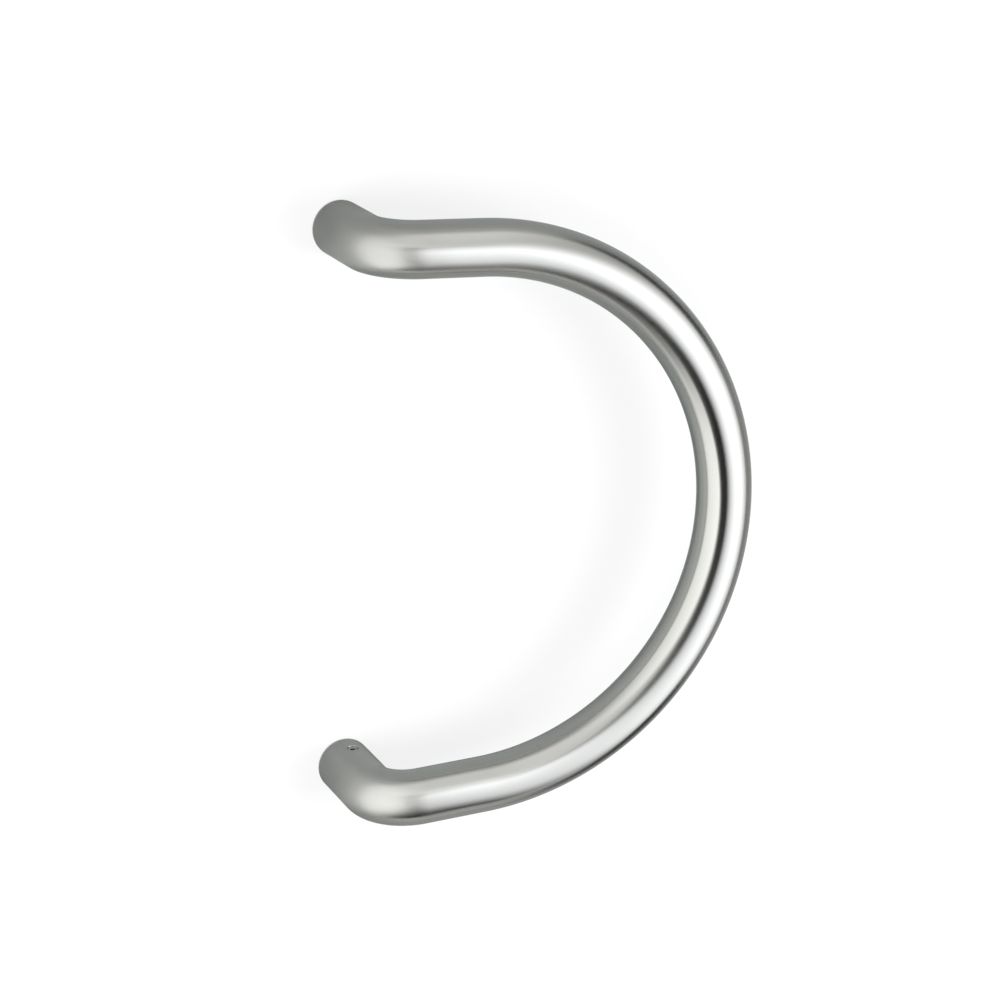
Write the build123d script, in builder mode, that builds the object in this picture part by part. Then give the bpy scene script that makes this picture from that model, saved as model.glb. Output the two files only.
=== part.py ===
from build123d import *
from math import cos, radians, sin, tan
import os

# Half-round door pull handle, bent from one length of round stainless steel tube.
# Each foot comes straight out of the door, turns through a tight bend into a short arm, and the
# two arms run into one large half circle, which is the grip. A bush is pressed into each foot.
# It slides over a round boss, which is bolted to the door from behind, and a grub screw in the
# side of the foot that faces the other foot bites into the boss's groove and holds it there.
#
# Frame, in millimetres: the door face is the plane Y = 0 and the handle stands out towards -Y.
# Z is up, the grip bows out towards +X, and the origin is midway between the feet.

# Tube
tube_diameter = 30.0
tube_wall = 1.5
rim_chamfer = 0.4           # on the tube's outer edge, where it meets the door

# Line that the middle of the tube follows
foot_spacing = 300.0        # between the middles of the feet
standoff = 60.0             # from the door face to the middle of the grip's tube
foot_bend_radius = 22.0
arm_length = 35.0           # straight run from the foot's bend to the half circle
arm_lean = 2.5              # degrees by which each arm leans towards the other

# Bush inside each foot
bush_length = 26.0
bush_setback = 0.5          # the tube's rim meets the door first
bush_chamfer = 1.0          # where it enters the tube, and where the boss enters it

# Boss on the door inside each bush
boss_diameter = 14.0
boss_length = 22.0
boss_chamfer = 1.5
boss_clearance = 0.05       # on the radius, between boss and bush
bolt_diameter = 8.0         # M8 thread, as a plain hole of the full diameter
bolt_thread_depth = 11.0
bolt_chamfer = 0.5
drill_point_angle = 118.0   # degrees, left at the bottom of the threaded hole

# Grub screw, M6 with a hexagon socket and a cone point
screw_diameter = 6.0
screw_length = 8.0
screw_height = 14.5         # from the door face to the screw's axis
screw_recess = 1.0          # from the tube's outer surface down to the screw's end
screw_chamfer = 0.4
screw_tip_diameter = 1.5
screw_hole_diameter = 6.5   # clear hole through the tube's wall
thread_clearance = 0.05     # on the radius, between screw and bush
groove_clearance = 0.05     # between the screw's point and the boss's groove
key_size = 3.0              # across the socket's flats
key_depth = 3.5

tube_radius = tube_diameter / 2
bore_radius = tube_radius - tube_wall
boss_radius = boss_diameter / 2
bolt_radius = bolt_diameter / 2
screw_radius = screw_diameter / 2
screw_tip_radius = screw_tip_diameter / 2
foot_middle = foot_spacing / 2

upper, lower = 1, -1
feet = (upper, lower)


def foot_plane(side, height=0.0):
    """Plane across a foot, at a height above the door face, looking out of the door."""
    middle = (0, -height, side * foot_middle)
    return Plane(origin=middle, x_dir=(1, 0, 0), z_dir=(0, -1, 0))


def screw_plane(side, depth=0.0):
    """Plane across a grub screw, at a depth below the tube's surface, looking out of its hole."""
    middle = (0, -screw_height, side * (foot_middle - tube_radius + depth))
    return Plane(origin=middle, x_dir=(1, 0, 0), z_dir=(0, 0, -side))


def lengthwise_plane(across):
    """Plane through the middle of a turned piece, with its length along the plane's own Y."""
    return Plane(origin=across.origin, x_dir=across.x_dir, z_dir=across.x_dir.cross(across.z_dir))


os.makedirs("parts", exist_ok=True)

# Grip tube: its round section swept along foot, bend, arm, half circle and back again.
# The half circle is as large as the arms' ends ask, so that all the runs meet without a corner.
# Each foot is hollow up to its bend. Past it the inside stays solid, since nothing opens there.
lean = radians(arm_lean)
arm_reach = foot_bend_radius + arm_length
bend_end = (foot_bend_radius * cos(lean), -standoff, foot_middle - foot_bend_radius * sin(lean))
arm_end = (arm_reach * cos(lean), -standoff, foot_middle - arm_reach * sin(lean))
grip_radius = arm_end[2] / cos(lean)
grip_middle = (arm_end[0] + grip_radius * (1 - sin(lean)), -standoff, 0)
lower_arm_end = (arm_end[0], -standoff, -arm_end[2])

with BuildPart() as grip_tube:
    with BuildLine() as centre_line:
        foot_run = Line((0, 0, foot_middle), (0, foot_bend_radius - standoff, foot_middle))
        foot_bend = TangentArc(foot_run @ 1, bend_end, tangent=foot_run % 1)
        Line(foot_bend @ 1, arm_end)
        mirror(about=Plane.XY)
        ThreePointArc(arm_end, grip_middle, lower_arm_end)
    with BuildSketch(foot_plane(upper)):
        Circle(tube_radius)
    sweep(path=centre_line.wire())
    chamfer(grip_tube.edges().filter_by_position(Axis.Y, 0, 0), length=rim_chamfer)
    with BuildSketch(*[foot_plane(side) for side in feet]):
        Circle(bore_radius)
    extrude(amount=foot_run.length, mode=Mode.SUBTRACT)
    with Locations(*[screw_plane(side) for side in feet]):
        Hole(radius=screw_hole_diameter / 2, depth=tube_radius)
grip_tube.part.label = "grip_tube"
export_step(grip_tube.part, "parts/grip_tube.step")

# Foot bushes: turned rings, pressed into the tube, each with a threaded side hole for its screw.
with BuildPart() as foot_bushes:
    with BuildSketch(*[foot_plane(side, bush_setback) for side in feet]):
        Circle(bore_radius)
        Circle(boss_radius + boss_clearance, mode=Mode.SUBTRACT)
    extrude(amount=bush_length)
    rims = foot_bushes.edges().filter_by(GeomType.CIRCLE)
    boss_mouths = rims.group_by(Axis.Y)[-1].group_by(SortBy.RADIUS)[0]
    leading_rims = rims.group_by(Axis.Y)[0].group_by(SortBy.RADIUS)[-1]
    chamfer(boss_mouths + leading_rims, length=bush_chamfer)
    with Locations(*[screw_plane(side) for side in feet]):
        Hole(radius=screw_radius + thread_clearance, depth=tube_radius)
foot_bushes.part.label = "foot_bushes"
export_step(foot_bushes.part, "parts/foot_bushes.step")

# The screw's point stands in the boss's groove, whose flanks slope as the point's cone does.
screw_end = tube_radius - screw_recess - screw_length
cone_length = screw_radius - screw_tip_radius
groove_radius = screw_end - groove_clearance
groove_bottom = screw_tip_radius + groove_clearance
groove_top = groove_bottom + boss_radius - groove_radius
thread_end = bolt_chamfer + bolt_thread_depth
drill_point = bolt_radius / tan(radians(drill_point_angle / 2))

# Fixing bosses: each turned in one piece, with a blind threaded hole and the screw's groove.
with BuildPart() as fixing_bosses:
    with BuildSketch(lengthwise_plane(foot_plane(upper))):
        with BuildLine():
            Polyline(
                (0, boss_length),
                (boss_radius - boss_chamfer, boss_length),
                (boss_radius, boss_length - boss_chamfer),
                (boss_radius, screw_height + groove_top),
                (groove_radius, screw_height + groove_bottom),
                (groove_radius, screw_height - groove_bottom),
                (boss_radius, screw_height - groove_top),
                (boss_radius, 0),
                (bolt_radius + bolt_chamfer, 0),
                (bolt_radius, bolt_chamfer),
                (bolt_radius, thread_end),
                (0, thread_end + drill_point),
                close=True,
            )
        make_face()
    revolve(axis=Axis(foot_plane(upper).origin, foot_plane(upper).z_dir))
    mirror(about=Plane.XY)
fixing_bosses.part.label = "fixing_bosses"
export_step(fixing_bosses.part, "parts/fixing_bosses.step")

# Grub screws: the outline of one turned about its own axis, then its hexagon socket.
screw_top = screw_plane(upper, screw_recess)
with BuildPart() as grub_screws:
    with BuildSketch(lengthwise_plane(screw_top)):
        with BuildLine():
            Polyline(
                (0, 0),
                (screw_radius - screw_chamfer, 0),
                (screw_radius, -screw_chamfer),
                (screw_radius, cone_length - screw_length),
                (screw_tip_radius, -screw_length),
                (0, -screw_length),
                close=True,
            )
        make_face()
    revolve(axis=Axis(screw_top.origin, screw_top.z_dir))
    with BuildSketch(screw_top):
        RegularPolygon(radius=key_size / 2, side_count=6, major_radius=False)
    extrude(amount=-key_depth, mode=Mode.SUBTRACT)
    mirror(about=Plane.XY)
grub_screws.part.label = "grub_screws"
export_step(grub_screws.part, "parts/grub_screws.step")
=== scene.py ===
"""Half-round satin stainless door pull handle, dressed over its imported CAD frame.

The file is laid out as a Blender add-on.
"""

from math import atan2, cos, pi, radians, sin

import bpy
from mathutils import Matrix, Vector


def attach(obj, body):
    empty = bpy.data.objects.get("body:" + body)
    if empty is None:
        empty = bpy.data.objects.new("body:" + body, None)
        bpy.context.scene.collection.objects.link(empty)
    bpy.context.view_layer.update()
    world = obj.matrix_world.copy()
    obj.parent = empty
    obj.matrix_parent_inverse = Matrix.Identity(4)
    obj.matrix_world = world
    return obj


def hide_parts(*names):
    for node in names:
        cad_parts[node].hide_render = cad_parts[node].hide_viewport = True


bl_info = {
    "name": "Half-Round Pull Handle",
    "version": (1, 0, 0),
    "blender": (4, 5, 0),
    "location": "3D View > Sidebar > Handle",
    "description": "Builds a satin stainless pull handle on its packed CAD frame, with its stage",
    "category": "Object",
}

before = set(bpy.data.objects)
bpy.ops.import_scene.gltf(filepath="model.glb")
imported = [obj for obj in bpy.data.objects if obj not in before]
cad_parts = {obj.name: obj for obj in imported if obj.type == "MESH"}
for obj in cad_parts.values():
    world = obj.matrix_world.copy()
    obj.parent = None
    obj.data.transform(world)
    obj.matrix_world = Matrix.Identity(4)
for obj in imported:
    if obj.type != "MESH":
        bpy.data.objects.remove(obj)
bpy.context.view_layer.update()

MM = 0.001
SAME_PLACE = 0.001 * MM     # points nearer to each other than this are one
UPPER, LOWER = 1, -1        # the side of Z = 0 that a foot is on


def linear(hex_colour):
    """Turns an sRGB hex colour into the four linear values that a shader socket takes."""
    channels = [int(hex_colour[i:i + 2], 16) / 255 for i in (1, 3, 5)]
    return [c / 12.92 if c <= 0.04045 else ((c + 0.055) / 1.055) ** 2.4 for c in channels] + [1.0]


class HandleSizes(bpy.types.PropertyGroup):
    """Sizes of the tube and its screw holes, which are the CAD part's, but for Bend Fade"""
    tube_radius: bpy.props.FloatProperty(
        name="Tube Radius", description="Outer radius of the bent tube",
        default=0.015, min=0.0, unit="LENGTH", subtype="DISTANCE")
    tube_bore: bpy.props.FloatProperty(
        name="Foot Bore", description="Inner radius of the tube in each foot",
        default=0.0135, min=0.0, unit="LENGTH", subtype="DISTANCE")
    rim_chamfer: bpy.props.FloatProperty(
        name="Rim Chamfer", description="Broken edge where the tube meets the door",
        default=0.0004, min=0.0, unit="LENGTH", subtype="DISTANCE")
    foot_spacing: bpy.props.FloatProperty(
        name="Foot Spacing", description="Between the middles of the two feet",
        default=0.3, min=0.0, unit="LENGTH", subtype="DISTANCE")
    standoff: bpy.props.FloatProperty(
        name="Standoff", description="From the door to the middle of the grip's tube",
        default=0.06, min=0.0, unit="LENGTH", subtype="DISTANCE")
    foot_bend: bpy.props.FloatProperty(
        name="Foot Bend", description="Radius of the foot's bend, to the middle of the tube",
        default=0.022, min=0.0, unit="LENGTH", subtype="DISTANCE")
    arm_length: bpy.props.FloatProperty(
        name="Arm Length", description="Straight run between the foot's bend and the half circle",
        default=0.035, min=0.0, unit="LENGTH", subtype="DISTANCE")
    arm_lean: bpy.props.FloatProperty(
        name="Arm Lean", description="How far each arm leans towards the other",
        default=radians(2.5), min=0.0, unit="ROTATION", subtype="ANGLE")
    bend_fade: bpy.props.FloatProperty(
        name="Bend Fade", description="How far past a bend its coarser finish reaches",
        default=0.014, min=0.0, unit="LENGTH", subtype="DISTANCE")
    screw_height: bpy.props.FloatProperty(
        name="Screw Height", description="From the door to the middle of the grub screw",
        default=0.0145, min=0.0, unit="LENGTH", subtype="DISTANCE")
    screw_hole: bpy.props.FloatProperty(
        name="Screw Hole", description="Radius of the clear hole for the grub screw",
        default=0.00325, min=0.0, unit="LENGTH", subtype="DISTANCE")


class HandleFinish(bpy.types.PropertyGroup):
    """Colours of the steels, and how far the tube's finish blurs what it mirrors"""
    tube_colour: bpy.props.StringProperty(
        name="Tube Colour", description="sRGB hex colour of the satin stainless tube",
        default="#C8C8C4")
    fixing_colour: bpy.props.StringProperty(
        name="Fixing Colour", description="sRGB hex colour of the turned bushes and bosses",
        default="#C2BFBB")
    screw_colour: bpy.props.StringProperty(
        name="Screw Colour", description="sRGB hex colour of the grub screws",
        default="#C4C4C0")
    tube_roughness: bpy.props.FloatProperty(
        name="Tube Roughness", description="How far the satin tube blurs what it mirrors",
        default=0.225, min=0.0, max=1.0, subtype="FACTOR")
    bend_roughness: bpy.props.FloatProperty(
        name="Bend Roughness", description="How much rougher the tight bends are",
        default=0.03, min=0.0, max=1.0, subtype="FACTOR")


class HandleStage(bpy.types.PropertyGroup):
    """Levels of the lamps and of the room round them"""
    left_lamp: bpy.props.FloatProperty(
        name="Left Lamp", description="Brightness of the left softbox, where 1 is white",
        default=1.5, min=0.0)
    right_lamp: bpy.props.FloatProperty(
        name="Right Lamp", description="Brightness of the right softbox, where 1 is white",
        default=1.6, min=0.0)
    top_lamp: bpy.props.FloatProperty(
        name="Top Lamp", description="Brightness of the overhead panel, where 1 is white",
        default=0.8, min=0.0)
    right_door_lamp: bpy.props.FloatProperty(
        name="Right Door Lamp", description="Light of the door's right lamp, where 1 is white",
        default=0.9, min=0.0)
    left_door_lamp: bpy.props.FloatProperty(
        name="Left Door Lamp", description="Light of the door's left lamp, where 1 is white",
        default=0.7, min=0.0)
    room: bpy.props.FloatProperty(
        name="Room", description="Brightness of the room round the lamps, where 1 is white",
        default=0.55, min=0.0)


def sizes():
    """The handle's sizes, as they stand in the panel."""
    return bpy.context.scene.handle_sizes


def finish():
    """The handle's finishes, as they stand in the panel."""
    return bpy.context.scene.handle_finish


def stage():
    """The stage's settings, as they stand in the panel."""
    return bpy.context.scene.handle_stage


class TubeLine:
    """The line that the middle of the tube follows, in metres, as in the CAD part.

    It is mirrored about Z = 0, so every run is worked out on the upper half. The values whose
    names end in _at are distances along the tube, from the middle of the grip to a run's start.
    """

    def __init__(self, s):
        self.along = Vector((cos(s.arm_lean), 0, -sin(s.arm_lean)))
        self.across = Vector((sin(s.arm_lean), 0, cos(s.arm_lean)))
        self.out = Vector((0, -1, 0))
        self.foot = Vector((0, 0, s.foot_spacing / 2))
        self.foot_run = s.standoff - s.foot_bend
        self.bend_radius = s.foot_bend
        self.bend_run = s.foot_bend * pi / 2
        bend_start = self.foot + self.out * self.foot_run
        self.bend_middle = bend_start + self.along * s.foot_bend
        self.bend_end = self.bend_middle + self.out * s.foot_bend
        self.arm_run = s.arm_length
        self.arm_end = self.bend_end + self.along * s.arm_length
        self.grip_radius = self.arm_end.z / self.across.z
        self.grip_middle = self.arm_end - self.across * self.grip_radius
        self.grip_turn = pi - 2 * s.arm_lean
        foot_to_grip = self.foot_run + self.bend_run + self.arm_run
        self.foot_at = (2 * foot_to_grip + self.grip_radius * self.grip_turn) / 2
        self.bend_at = self.foot_at - self.foot_run
        self.arm_at = self.bend_at - self.bend_run
        self.grip_at = self.arm_at - self.arm_run

    def straighten(self, point):
        """Where a point of the tube would lie on a straight tube, and the tube's direction there.

        The place is the distance along the tube from the middle of the grip, and the two
        offsets across it. The direction runs from the upper foot to the lower one.
        """
        side = LOWER if point.z < 0 else UPPER
        p = Vector((point.x, point.y, abs(point.z)))
        if (p - self.arm_end).dot(self.along) > 0:
            spoke = p - self.grip_middle
            turn = atan2(spoke.x, spoke.z) - atan2(self.across.x, self.across.z)
            flat = Vector((spoke.x, 0, spoke.z))
            ring = flat.normalized()
            place = Vector((self.grip_at - self.grip_radius * turn, spoke.y,
                            flat.length - self.grip_radius))
            direction = Vector((ring.z, 0, -ring.x))
        elif (p - self.bend_end).dot(self.along) > 0:
            offset = p - self.bend_end
            place = Vector((self.arm_at - offset.dot(self.along), offset.y,
                            offset.dot(self.across)))
            direction = self.along
        elif (p - self.bend_middle).dot(self.out) > 0:
            spoke = p - self.bend_middle
            turn = atan2(spoke.dot(self.out), -spoke.dot(self.along))
            away = (spoke - self.across * spoke.dot(self.across)).length - self.bend_radius
            place = Vector((self.bend_at - self.bend_radius * turn, -away,
                            spoke.dot(self.across)))
            direction = self.along * sin(turn) + self.out * cos(turn)
        else:
            offset = p - self.foot
            place = Vector((self.foot_at - offset.dot(self.out), offset.dot(self.along),
                            offset.dot(self.across)))
            direction = self.out
        place.x *= side
        if side == LOWER:
            direction = Vector((-direction.x, -direction.y, direction.z))
        return place, direction


def mirrored(vector):
    """The same vector on the lower half of the handle."""
    return Vector((vector.x, vector.y, -vector.z))


def deselect():
    """Leaves nothing selected, in object mode."""
    if bpy.context.object and bpy.context.object.mode != "OBJECT":
        bpy.ops.object.mode_set(mode="OBJECT")
    bpy.ops.object.select_all(action="DESELECT")


def select_only(piece):
    """Selects one piece and makes it the active one."""
    deselect()
    piece.select_set(True)
    bpy.context.view_layer.objects.active = piece


def settle(piece):
    """Applies a piece's place, so that it sits at the origin, unturned and unscaled."""
    select_only(piece)
    bpy.ops.object.transform_apply(location=True, rotation=True, scale=True)


def pick_vertices(piece, test):
    """In edit mode, selects only the vertices whose places pass the test."""
    bpy.ops.mesh.select_mode(type="VERT")
    bpy.ops.mesh.select_all(action="DESELECT")
    bpy.ops.object.mode_set(mode="OBJECT")
    for vertex in piece.data.vertices:
        vertex.select = test(vertex.co)
    bpy.ops.object.mode_set(mode="EDIT")


def extrude(offset):
    """Extrudes the selected ring by an offset."""
    bpy.ops.mesh.extrude_region_move(TRANSFORM_OT_translate={"value": offset})


def add_node(tree, kind, inputs=None, **settings):
    """Adds one node with its settings. Each input given is linked from a socket, or set."""
    node = tree.nodes.new(kind)
    for name, value in settings.items():
        setattr(node, name, value)
    for name, source in (inputs or {}).items():
        if isinstance(source, bpy.types.NodeSocket):
            tree.links.new(source, node.inputs[name])
        else:
            node.inputs[name].default_value = source
    return node


def new_material(name):
    """A material, and its node tree with nothing in it."""
    material = bpy.data.materials.new(name)
    material.use_nodes = True
    material.node_tree.nodes.clear()
    return material, material.node_tree


def satin_tube_material():
    """Stainless steel tube, ground to a satin finish by belts that run round it as it feeds.

    The belts leave hair-fine rings round the tube. They blur what it mirrors along its length
    and hardly at all round it, so a lamp shows as a long band with clean sides, soft at its ends.
    """
    material, tree = new_material("satin_ground_stainless_steel")
    place = add_node(tree, "ShaderNodeAttribute", attribute_name="straightened")
    direction = add_node(tree, "ShaderNodeAttribute", attribute_name="tube_direction")
    bends = add_node(tree, "ShaderNodeAttribute", attribute_name="bend_share")
    # Rings are 0.5 mm apart and 12.5 mm long, ten times a real belt's, so that they can show.
    ring_gap, ring_length = 0.5 * MM, 12.5 * MM
    stretch = add_node(tree, "ShaderNodeMapping", {
        "Vector": place.outputs["Vector"],
        "Scale": (1 / ring_gap, 1 / ring_length, 1 / ring_length)})
    scratches = add_node(tree, "ShaderNodeTexNoise", {
        "Vector": stretch.outputs["Vector"], "Scale": 1.0, "Detail": 2.0, "Lacunarity": 2.3})
    # The belts bear unevenly, in patches 25 mm wide round the tube and a third as long.
    patch_width = 25 * MM
    patch_length = patch_width / 3
    sweep = add_node(tree, "ShaderNodeMapping", {
        "Vector": place.outputs["Vector"],
        "Scale": (1 / patch_length, 1 / patch_width, 1 / patch_width)})
    passes = add_node(tree, "ShaderNodeTexNoise", {
        "Vector": sweep.outputs["Vector"], "Scale": 1.0, "Detail": 2.0})
    # The noises' usual range, and how far each of them moves the roughness up and down.
    noise_low, noise_high, swing = 0.3, 0.7, 0.006
    base = finish().tube_roughness
    fine = add_node(tree, "ShaderNodeMapRange", {
        "Value": scratches.outputs["Fac"], "From Min": noise_low, "From Max": noise_high,
        "To Min": base - swing, "To Max": base + swing})
    broad = add_node(tree, "ShaderNodeMapRange", {
        "Value": passes.outputs["Fac"], "From Min": noise_low, "From Max": noise_high,
        "To Min": -swing, "To Max": swing})
    uneven = add_node(tree, "ShaderNodeMath", {
        0: fine.outputs["Result"], 1: broad.outputs["Result"]}, operation="ADD")
    # Bending opens the rings, so the tight bends are a little coarser, most of all lengthwise.
    straight_grain, bend_grain = 0.9, 1.0
    rough = add_node(tree, "ShaderNodeMath", {
        0: bends.outputs["Fac"], 1: finish().bend_roughness, 2: uneven.outputs[0]},
        operation="MULTIPLY_ADD")
    grain = add_node(tree, "ShaderNodeMapRange", {
        "Value": bends.outputs["Fac"], "To Min": straight_grain, "To Max": bend_grain})
    bump = add_node(tree, "ShaderNodeBump", {
        "Height": scratches.outputs["Fac"], "Strength": 0.1, "Distance": 0.02 * MM})
    shader = add_node(tree, "ShaderNodeBsdfPrincipled", {
        "Base Color": linear(finish().tube_colour), "Metallic": 1.0,
        "Roughness": rough.outputs[0], "Anisotropic": grain.outputs["Result"],
        "Tangent": direction.outputs["Vector"], "Normal": bump.outputs["Normal"]})
    add_node(tree, "ShaderNodeOutputMaterial", {"Surface": shader.outputs["BSDF"]})
    return material


def turned_steel_material(name, colour, axis_height):
    """Free-cutting stainless steel as it comes off the lathe.

    The tool leaves fine rings round the axis of each foot. One axis is axis_height above Z = 0
    and the other as far below. The grub screws lie across them and show the rings as fine lines.
    """
    material, tree = new_material(name)
    coords = add_node(tree, "ShaderNodeTexCoord")
    split = add_node(tree, "ShaderNodeSeparateXYZ", {"Vector": coords.outputs["Object"]})
    height = add_node(tree, "ShaderNodeMath", {0: split.outputs["Z"]}, operation="ABSOLUTE")
    offset = add_node(tree, "ShaderNodeMath", {
        0: height.outputs[0], 1: axis_height}, operation="SUBTRACT")
    flat = add_node(tree, "ShaderNodeCombineXYZ", {
        "X": split.outputs["X"], "Y": offset.outputs[0]})
    radius = add_node(tree, "ShaderNodeVectorMath", {0: flat.outputs[0]}, operation="LENGTH")
    rings_at = add_node(tree, "ShaderNodeCombineXYZ", {
        "X": radius.outputs["Value"], "Y": split.outputs["Y"]})
    # A finishing cut feeds 0.15 mm a turn, which leaves 6.5 rings to the millimetre.
    rings = add_node(tree, "ShaderNodeTexNoise", {
        "Vector": rings_at.outputs[0], "Scale": 6.5 / MM, "Detail": 1.0})
    smoothest, roughest = 0.22, 0.44
    rough = add_node(tree, "ShaderNodeMapRange", {
        "Value": rings.outputs["Fac"], "To Min": smoothest, "To Max": roughest})
    bump = add_node(tree, "ShaderNodeBump", {
        "Height": rings.outputs["Fac"], "Strength": 0.3, "Distance": 0.02 * MM})
    shader = add_node(tree, "ShaderNodeBsdfPrincipled", {
        "Base Color": linear(colour), "Metallic": 1.0, "Roughness": rough.outputs["Result"],
        "Normal": bump.outputs["Normal"]})
    add_node(tree, "ShaderNodeOutputMaterial", {"Surface": shader.outputs["BSDF"]})
    return material


def plain_surface_material(name, colour):
    """A matt card or felt of one colour, which only stands round the object."""
    material, tree = new_material(name)
    shader = add_node(tree, "ShaderNodeBsdfDiffuse", {"Color": linear(colour)})
    add_node(tree, "ShaderNodeOutputMaterial", {"Surface": shader.outputs["BSDF"]})
    return material


def door_face_material():
    """Semi-matt lacquered door face, seen white by the camera.

    The photographed steel mirrors the door as a light grey, so mirrored rays see most of the
    door's own lacquer and a share of the white. Seen from behind, the door isn't there.
    """
    material, tree = new_material("semi_matt_door_lacquer")
    mirrored_white = 0.085
    rays = add_node(tree, "ShaderNodeLightPath")
    share = add_node(tree, "ShaderNodeMath", {
        0: rays.outputs["Is Glossy Ray"], 1: mirrored_white}, operation="MULTIPLY")
    seen = add_node(tree, "ShaderNodeMath", {
        0: rays.outputs["Is Camera Ray"], 1: rays.outputs["Is Transmission Ray"]},
        operation="ADD")
    white_share = add_node(tree, "ShaderNodeMath", {
        0: seen.outputs[0], 1: share.outputs[0]}, operation="ADD", use_clamp=True)
    lacquer = add_node(tree, "ShaderNodeBsdfPrincipled", {
        "Base Color": linear("#646866"), "Roughness": 0.3, "Coat Weight": 1.0,
        "Coat Roughness": 0.25})
    # The white is a face that takes the handle's shadow, and a glow that makes up the rest.
    lit = add_node(tree, "ShaderNodeBsdfDiffuse", {"Color": linear("#595959")})
    # From 0.3 m to 1 m away from the handle the glow grows, so that the door runs into the
    # background. From 15 mm to 40 mm left of the feet it also grows: this is painted light from
    # the left softbox on the door, which lifts the feet's shadow there.
    coords = add_node(tree, "ShaderNodeTexCoord")
    reach = add_node(tree, "ShaderNodeVectorMath", {
        0: coords.outputs["Object"]}, operation="LENGTH")
    away = add_node(tree, "ShaderNodeMapRange", {
        "Value": reach.outputs["Value"], "From Min": 0.3, "From Max": 1.0,
        "To Min": 0.805, "To Max": 1.0})
    split = add_node(tree, "ShaderNodeSeparateXYZ", {"Vector": coords.outputs["Object"]})
    # Painted light: a brighter glow on the door beside the left softbox, left of the feet.
    left = add_node(tree, "ShaderNodeMapRange", {
        "Value": split.outputs["X"], "From Min": -0.04, "From Max": -0.015,
        "To Min": 0.85, "To Max": 0.795})
    level = add_node(tree, "ShaderNodeMath", {
        0: away.outputs["Result"], 1: left.outputs["Result"]}, operation="MAXIMUM")
    glow = add_node(tree, "ShaderNodeEmission", {"Strength": level.outputs[0]})
    white = add_node(tree, "ShaderNodeAddShader", {0: lit.outputs[0], 1: glow.outputs[0]})
    front = add_node(tree, "ShaderNodeMixShader", {
        "Fac": white_share.outputs[0], 1: lacquer.outputs[0], 2: white.outputs[0]})
    # A ray that starts this near comes from the feet's own ends. The door lets it through,
    # because the ends would otherwise be dark in views from behind.
    contact = 2 * MM
    geometry = add_node(tree, "ShaderNodeNewGeometry")
    near = add_node(tree, "ShaderNodeMath", {
        0: rays.outputs["Ray Length"], 1: contact}, operation="LESS_THAN")
    gone = add_node(tree, "ShaderNodeMath", {
        0: geometry.outputs["Backfacing"], 1: near.outputs[0]}, operation="MAXIMUM")
    clear = add_node(tree, "ShaderNodeBsdfTransparent")
    both = add_node(tree, "ShaderNodeMixShader", {
        "Fac": gone.outputs[0], 1: front.outputs[0], 2: clear.outputs[0]})
    add_node(tree, "ShaderNodeOutputMaterial", {"Surface": both.outputs[0]})
    return material


def bent_tube(s, line):
    """Takes a ring along the tube's line, from the upper foot to the lower one."""
    ring_steps, grip_steps, bend_steps = 96, 176, 24
    deselect()
    bpy.ops.mesh.primitive_circle_add(
        vertices=ring_steps, radius=s.tube_radius, fill_type="NOTHING",
        location=line.foot + line.out * s.rim_chamfer, rotation=(pi / 2, 0, 0))
    tube = bpy.context.object
    tube.name = tube.data.name = "satin_tube"
    settle(tube)
    bpy.ops.object.mode_set(mode="EDIT")
    bpy.ops.mesh.select_all(action="SELECT")

    def turn(middle, axis, angle, steps):
        bpy.ops.mesh.spin(steps=steps, angle=-angle, center=middle, axis=axis)

    # The foot's run is split round the screw's hole, which is cut later, and both runs are
    # split beside the bend, where its coarser finish fades out.
    to_hole = s.screw_height - 2 * s.screw_hole
    past_hole = s.screw_height + 2 * s.screw_hole
    foot_runs = (to_hole - s.rim_chamfer, past_hole - to_hole,
                 line.foot_run - past_hole - s.bend_fade, s.bend_fade)
    arm_runs = (s.bend_fade, line.arm_run - s.bend_fade)
    back = Vector((-line.along.x, 0, line.along.z))
    for length in foot_runs:
        extrude(line.out * length)
    turn(line.bend_middle, line.out.cross(line.along), pi / 2, bend_steps)
    for length in arm_runs:
        extrude(line.along * length)
    turn(line.grip_middle, (0, 1, 0), line.grip_turn, grip_steps)
    for length in reversed(arm_runs):
        extrude(back * length)
    turn(mirrored(line.bend_middle), back.cross(-line.out), pi / 2, bend_steps)
    for length in reversed(foot_runs):
        extrude(-line.out * length)
    return tube


def open_foot(tube, s, line, foot):
    """Chamfers a foot's rim, turns it inwards to the bore, and bores as far as the bend."""
    edge = foot + line.out * s.rim_chamfer
    rim_radius = s.tube_radius - s.rim_chamfer

    def on_edge(co):
        return abs(co.y - edge.y) < SAME_PLACE and (co - edge).length < 2 * s.tube_radius

    def shrink(share):
        bpy.ops.transform.resize(value=(share, 1, share), center_override=foot)

    pick_vertices(tube, on_edge)
    extrude(foot - edge)
    shrink(rim_radius / s.tube_radius)
    extrude((0, 0, 0))
    shrink(s.tube_bore / rim_radius)
    extrude(line.out * line.foot_run)
    bpy.ops.mesh.edge_face_add()


def cut_screw_hole(tube, s, side):
    """Drills the clear hole for one foot's grub screw through the tube's wall."""
    hole_steps = 64
    wall = Vector((0, -s.screw_height, side * (s.foot_spacing / 2 - s.tube_radius)))
    deselect()
    bpy.ops.mesh.primitive_cylinder_add(
        vertices=hole_steps, radius=s.screw_hole, depth=s.tube_radius, location=wall)
    drill = bpy.context.object
    settle(drill)
    select_only(tube)
    cut = tube.modifiers.new("screw_hole", "BOOLEAN")
    cut.operation = "DIFFERENCE"
    cut.solver = "EXACT"
    cut.object = drill
    bpy.ops.object.modifier_apply(modifier=cut.name)
    bpy.data.objects.remove(drill)


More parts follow.
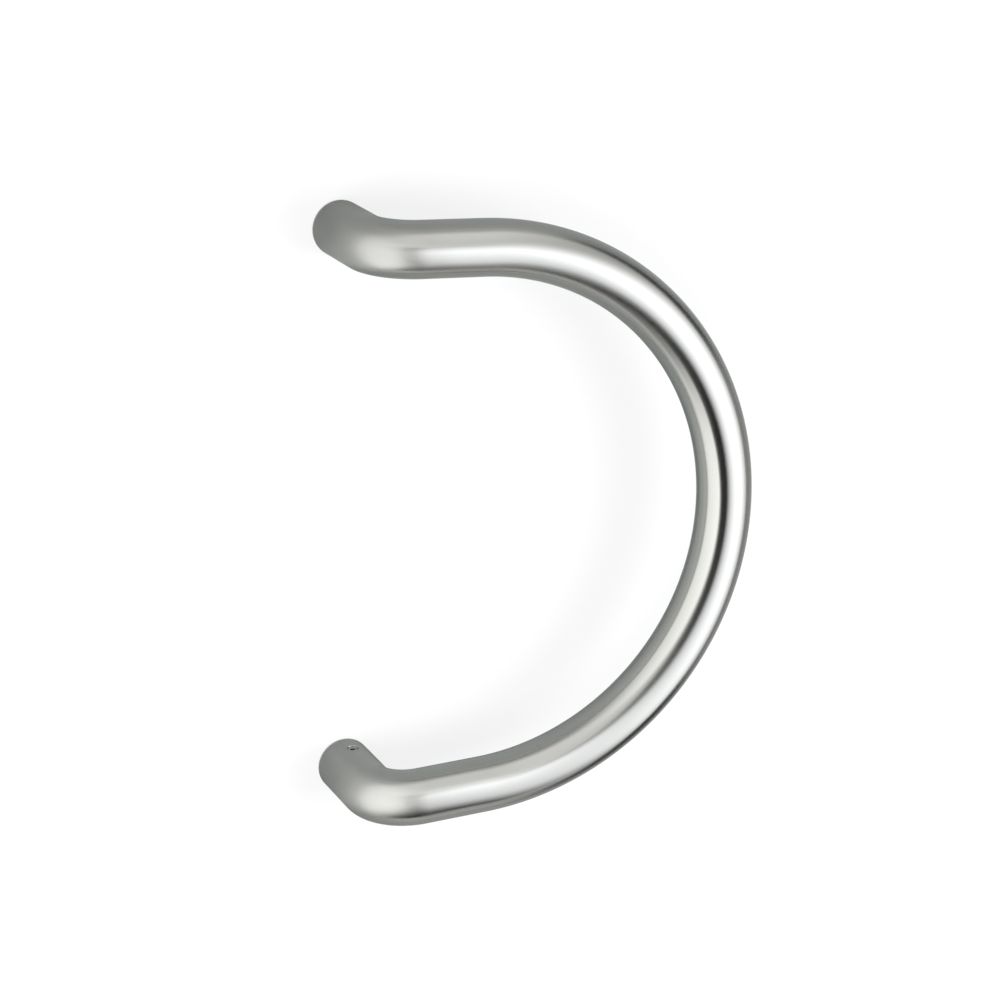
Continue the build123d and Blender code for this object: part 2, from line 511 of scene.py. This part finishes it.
def deburr_screw_holes(tube, s):
    """Breaks the outer edges of the screw holes."""
    deburr, deburr_steps = 0.12 * MM, 2
    off_radius, below_surface = 0.02 * MM, 0.05 * MM
    select_only(tube)
    bpy.ops.object.mode_set(mode="EDIT")

    def on_hole_rim(co):
        middle = Vector((0, -s.screw_height, 0))
        from_axis = Vector((co.x, co.y, 0)) - middle
        from_foot = Vector((co.x, 0, abs(co.z) - s.foot_spacing / 2))
        return (abs(from_axis.length - s.screw_hole) < off_radius
                and from_foot.length > s.tube_radius - below_surface)

    pick_vertices(tube, on_hole_rim)
    bpy.ops.mesh.select_mode(type="EDGE")
    bpy.ops.mesh.bevel(offset=deburr, segments=deburr_steps, affect="EDGES")
    bpy.ops.object.mode_set(mode="OBJECT")


def write_grain(tube, s, line):
    """Writes what the finish follows: where each point lies on the tube, and its bends."""
    # Every attribute is added before any is filled, because adding one moves the others.
    layers = tube.data.attributes
    for name, kind in (("straightened", "FLOAT_VECTOR"), ("tube_direction", "FLOAT_VECTOR"),
                       ("bend_share", "FLOAT")):
        layers.new(name, kind, "POINT")
    bend_middle_at = line.bend_at - line.bend_run / 2
    for i, vertex in enumerate(tube.data.vertices):
        place, direction = line.straighten(vertex.co)
        beyond = abs(abs(place.x) - bend_middle_at) - line.bend_run / 2
        share = 1.0 - beyond / s.bend_fade
        layers["straightened"].data[i].vector = place
        layers["tube_direction"].data[i].vector = direction
        layers["bend_share"].data[i].value = min(1.0, max(0.0, share))


class HANDLE_OT_satin_tube(bpy.types.Operator):
    """Bends the tube along its line and gives it its satin finish"""
    bl_idname = "handle.satin_tube"
    bl_label = "Satin Tube"

    def execute(self, context):
        s = sizes()
        line = TubeLine(s)
        crease_angle = radians(30)
        tube = bent_tube(s, line)
        for foot in (line.foot, mirrored(line.foot)):
            open_foot(tube, s, line, foot)
        bpy.ops.mesh.select_all(action="SELECT")
        bpy.ops.mesh.remove_doubles(threshold=SAME_PLACE)
        bpy.ops.mesh.normals_make_consistent(inside=False)
        bpy.ops.object.mode_set(mode="OBJECT")
        for side in (UPPER, LOWER):
            cut_screw_hole(tube, s, side)
        deburr_screw_holes(tube, s)
        bpy.ops.object.shade_smooth_by_angle(angle=crease_angle)
        write_grain(tube, s, line)
        tube.data.materials.append(satin_tube_material())
        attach(tube, "root")
        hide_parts("grip_tube")
        return {"FINISHED"}


class HANDLE_OT_fixings(bpy.types.Operator):
    """Gives the bushes, the bosses and the grub screws their turned finishes"""
    bl_idname = "handle.fixings"
    bl_label = "Fixings"

    def execute(self, context):
        axis_height = sizes().foot_spacing / 2
        for node_name, material_name, colour in (
                ("foot_bushes", "turned_steel_bush", finish().fixing_colour),
                ("fixing_bosses", "turned_steel_boss", finish().fixing_colour),
                ("grub_screws", "machined_steel_screw", finish().screw_colour)):
            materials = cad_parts[node_name].data.materials
            materials.clear()
            materials.append(turned_steel_material(material_name, colour, axis_height))
        return {"FINISHED"}


def softbox_material(name, colour, brightness, lean, edge):
    """Lit cloth of a softbox, with its brightness given as white's share.

    Its light leans to one side and up or down, and fades out over the edge's share of it.
    """
    material, tree = new_material(name)
    # Places on the cloth run from -1 to 1 both ways.
    coords = add_node(tree, "ShaderNodeTexCoord")
    centred = add_node(tree, "ShaderNodeVectorMath", {
        0: coords.outputs["UV"], 1: (2, 2, 0), 2: (-1, -1, 0)}, operation="MULTIPLY_ADD")
    slope = add_node(tree, "ShaderNodeVectorMath", {
        0: centred.outputs[0], 1: (*lean, 0)}, operation="DOT_PRODUCT")
    level = add_node(tree, "ShaderNodeMath", {
        0: slope.outputs["Value"], 1: brightness, 2: brightness}, operation="MULTIPLY_ADD")
    sides = add_node(tree, "ShaderNodeVectorMath", {0: centred.outputs[0]}, operation="ABSOLUTE")
    split = add_node(tree, "ShaderNodeSeparateXYZ", {"Vector": sides.outputs[0]})
    fades = [
        add_node(tree, "ShaderNodeMapRange", {
            "Value": split.outputs[axis], "From Min": 1, "From Max": 1 - share},
            interpolation_type="SMOOTHSTEP").outputs["Result"]
        for axis, share in zip("XY", edge)]
    shown = add_node(tree, "ShaderNodeMath", {0: fades[0], 1: fades[1]}, operation="MULTIPLY")
    glow = add_node(tree, "ShaderNodeEmission", {
        "Color": linear(colour), "Strength": level.outputs[0]})
    clear = add_node(tree, "ShaderNodeBsdfTransparent")
    cloth = add_node(tree, "ShaderNodeMixShader", {
        "Fac": shown.outputs[0], 1: clear.outputs[0], 2: glow.outputs[0]})
    geometry = add_node(tree, "ShaderNodeNewGeometry")
    both = add_node(tree, "ShaderNodeMixShader", {
        "Fac": geometry.outputs["Backfacing"], 1: cloth.outputs[0], 2: clear.outputs[0]})
    add_node(tree, "ShaderNodeOutputMaterial", {"Surface": both.outputs[0]})
    return material


def card(name, middle, azimuth, elevation, width, height, material, shades_door=True):
    """A flat card that the camera doesn't see, facing back along an azimuth and an elevation.

    The azimuth runs from straight out of the door towards the side that the grip bows to. A
    card that doesn't shade the door is one that no diffuse ray sees.
    """
    deselect()
    a, e = radians(azimuth), radians(elevation)
    back = Vector((-sin(a) * cos(e), cos(a) * cos(e), -sin(e)))
    level = Vector((-cos(a), -sin(a), 0))
    turn = Matrix((level, back.cross(level), back)).transposed().to_euler()
    bpy.ops.mesh.primitive_plane_add(size=1, location=middle, rotation=turn)
    piece = bpy.context.object
    piece.name = piece.data.name = name
    piece.scale = (width, height, 1)
    settle(piece)
    piece.data.materials.append(material)
    piece.visible_camera = False
    piece.visible_shadow = False
    piece.visible_diffuse = shades_door


def door_lamp(name, middle, aim, width, brightness):
    """A round lamp for the door's shadows, with its light on a white face as white's share."""
    beam = Vector(aim) - Vector(middle)
    data = bpy.data.lights.new(name, "AREA")
    data.shape = "DISK"
    data.size = width
    # A white face that looks straight at the lamp sends on energy / (pi * beam.length) ** 2.
    data.energy = brightness * pi * pi * beam.length * beam.length
    lamp = bpy.data.objects.new(name, data)
    bpy.context.collection.objects.link(lamp)
    lamp.location = middle
    lamp.rotation_euler = beam.to_track_quat("-Z", "Y").to_euler()
    lamp.visible_camera = False
    lamp.visible_glossy = False


def add_camera():
    """The camera, which was fitted to the tube's outline in the photograph."""
    place = (-0.51095, -1.44769, 0.47196)
    yaw, pitch, roll = -0.3945, 0.2972, 0.0074
    focal_to_width, sensor_mm = 2.9956, 36
    forward = Vector((-sin(yaw) * cos(pitch), cos(yaw) * cos(pitch), -sin(pitch)))
    level = Vector((cos(yaw), sin(yaw), 0))
    above = level.cross(forward)
    right = level * cos(roll) + above * sin(roll)
    up = above * cos(roll) - level * sin(roll)
    data = bpy.data.cameras.new("camera")
    data.sensor_width = sensor_mm
    data.lens = focal_to_width * sensor_mm
    data.clip_start = 0.05
    data.clip_end = 20
    camera = bpy.data.objects.new("camera", data)
    bpy.context.collection.objects.link(camera)
    turn = Matrix((right, up, -forward)).transposed().to_4x4()
    camera.matrix_world = Matrix.Translation(place) @ turn
    bpy.context.scene.camera = camera


def add_door():
    """The door's face, a hair behind the feet, so that no two faces share a plane."""
    behind, width = 0.05 * MM, 4
    deselect()
    bpy.ops.mesh.primitive_plane_add(size=width, location=(0, behind, 0), rotation=(pi / 2, 0, 0))
    door = bpy.context.object
    door.name = door.data.name = "door_face"
    settle(door)
    door.data.materials.append(door_face_material())


def add_lamps(levels):
    """Softboxes on the left, right and overhead, and two lamps for the door's shadows."""
    # The softboxes leave a gap in front, round the camera.
    card("left_softbox", (-0.147, -0.215, 0.01), azimuth=-83, elevation=-2.6,
         width=0.425, height=1.16,
         material=softbox_material("left_softbox_cloth", "#FFFFFF", levels.left_lamp,
                                   lean=(-0.15, -0.3), edge=(0.2, 0.75)))
    card("right_softbox", (0.351, -0.829, -0.224), azimuth=56.8, elevation=1.4,
         width=1.8, height=1.51,
         material=softbox_material("right_softbox_cloth", "#F9FBFF", levels.right_lamp,
                                   lean=(-0.85, 0.6), edge=(0.66, 0.62)))
    card("overhead_panel", (-0.235, -0.781, 0.526), azimuth=7.9, elevation=96,
         width=1.67, height=1.26,
         material=softbox_material("overhead_cloth", "#FFFFFF", levels.top_lamp,
                                   lean=(-0.6, 0), edge=(0.49, 0.2)))
    # The half circle's shadow shows from the right lamp alone, because the left lamp's falls
    # mostly behind the grip. Both lamps' shadows meet above the arms.
    grip_front, lamp_width = (0.09, -0.06, 0), 0.64
    door_lamp("right_door_lamp", (0.93, -1.61, -0.03), grip_front, lamp_width,
              levels.right_door_lamp)
    door_lamp("left_door_lamp", (-0.575, -1.61, -0.03), grip_front, lamp_width,
              levels.left_door_lamp)


def add_cards():
    """Black flags in front and below, grey and charcoal ones on the right, and a charcoal card of
    painted shade on the door.
    """
    felt = plain_surface_material("black_felt", "#303030")
    velvet = plain_surface_material("black_velvet", "#141414")
    grey = plain_surface_material("grey_card", "#A8A8A8")
    charcoal = plain_surface_material("charcoal_card", "#545454")
    card("gap_flag", (-0.523, -1.794, -0.075), azimuth=-55.1, elevation=0,
         width=0.96, height=1.88, material=felt)
    card("floor_flag", (-0.221, -0.737, -0.59), azimuth=-15.9, elevation=-89,
         width=0.76, height=1.13, material=velvet)
    # The right side is closed off beside the door: light grey level with the handle, dark above
    # and below it, which gives the half circle its thin dark outlines. The last card lies 4 mm in
    # front of the door, below and right of the grip. It is painted shade: the handle's shadow on
    # the door, as the steel mirrors it.
    for name, middle, azimuth, width, height, material in (
            ("side_flag", (0.45, -0.065, -0.105), 90, 0.12, 0.45, grey),
            ("upper_side_flag", (0.45, -0.065, 0.31), 90, 0.12, 0.38, charcoal),
            ("lower_side_flag", (0.45, -0.1, -0.58), 90, 0.19, 0.5, charcoal),
            # Painted shade: a charcoal card on the door, seen only in the steel, for the handle's
            # shadow there.
            ("painted_door_shade_card", (0.52, -0.004, -0.56), 180, 0.54, 0.58, charcoal)):
        card(name, middle, azimuth, 0, width, height, material, shades_door=False)


def light_room(brightness):
    """The room round the lamps: white to the camera, and a dimmer grey to the steel."""
    world = bpy.data.worlds.new("studio_room")
    bpy.context.scene.world = world
    world.use_nodes = True
    tree = world.node_tree
    tree.nodes.clear()
    rays = add_node(tree, "ShaderNodeLightPath")
    seen = add_node(tree, "ShaderNodeMath", {
        0: rays.outputs["Is Camera Ray"], 1: rays.outputs["Is Transmission Ray"]},
        operation="ADD")
    level = add_node(tree, "ShaderNodeMapRange", {
        "Value": seen.outputs[0], "To Min": brightness, "To Max": 1.0})
    background = add_node(tree, "ShaderNodeBackground", {
        "Color": (1, 1, 1, 1), "Strength": level.outputs["Result"]})
    add_node(tree, "ShaderNodeOutputWorld", {"Surface": background.outputs[0]})


class HANDLE_OT_stage(bpy.types.Operator):
    """Sets the camera, the door face behind the handle, the lamps and the cards"""
    bl_idname = "handle.stage"
    bl_label = "Stage"

    def execute(self, context):
        context.scene.view_settings.view_transform = "Standard"
        levels = stage()
        add_camera()
        add_door()
        add_lamps(levels)
        add_cards()
        light_room(levels.room)
        return {"FINISHED"}


class HANDLE_PT_panel(bpy.types.Panel):
    """Lists the handle's operators and what can be changed"""
    bl_idname = "HANDLE_PT_panel"
    bl_label = "Pull Handle"
    bl_space_type = "VIEW_3D"
    bl_region_type = "UI"
    bl_category = "Handle"

    def draw(self, context):
        for operator in OPERATORS:
            self.layout.operator(operator.bl_idname)
        for group in (sizes(), finish(), stage()):
            box = self.layout.box()
            for name in group.__annotations__:
                box.prop(group, name)


GROUPS = {"handle_sizes": HandleSizes, "handle_finish": HandleFinish, "handle_stage": HandleStage}
OPERATORS = (HANDLE_OT_satin_tube, HANDLE_OT_fixings, HANDLE_OT_stage)


def register():
    for name, group in GROUPS.items():
        bpy.utils.register_class(group)
        setattr(bpy.types.Scene, name, bpy.props.PointerProperty(type=group))
    for operator in OPERATORS:
        bpy.utils.register_class(operator)
    bpy.utils.register_class(HANDLE_PT_panel)


def unregister():
    bpy.utils.unregister_class(HANDLE_PT_panel)
    for operator in reversed(OPERATORS):
        bpy.utils.unregister_class(operator)
    for name, group in reversed(GROUPS.items()):
        delattr(bpy.types.Scene, name)
        bpy.utils.unregister_class(group)


def main():
    register()
    bpy.ops.handle.satin_tube()
    bpy.ops.handle.fixings()
    bpy.ops.handle.stage()


if __name__ == "__main__":
    main()
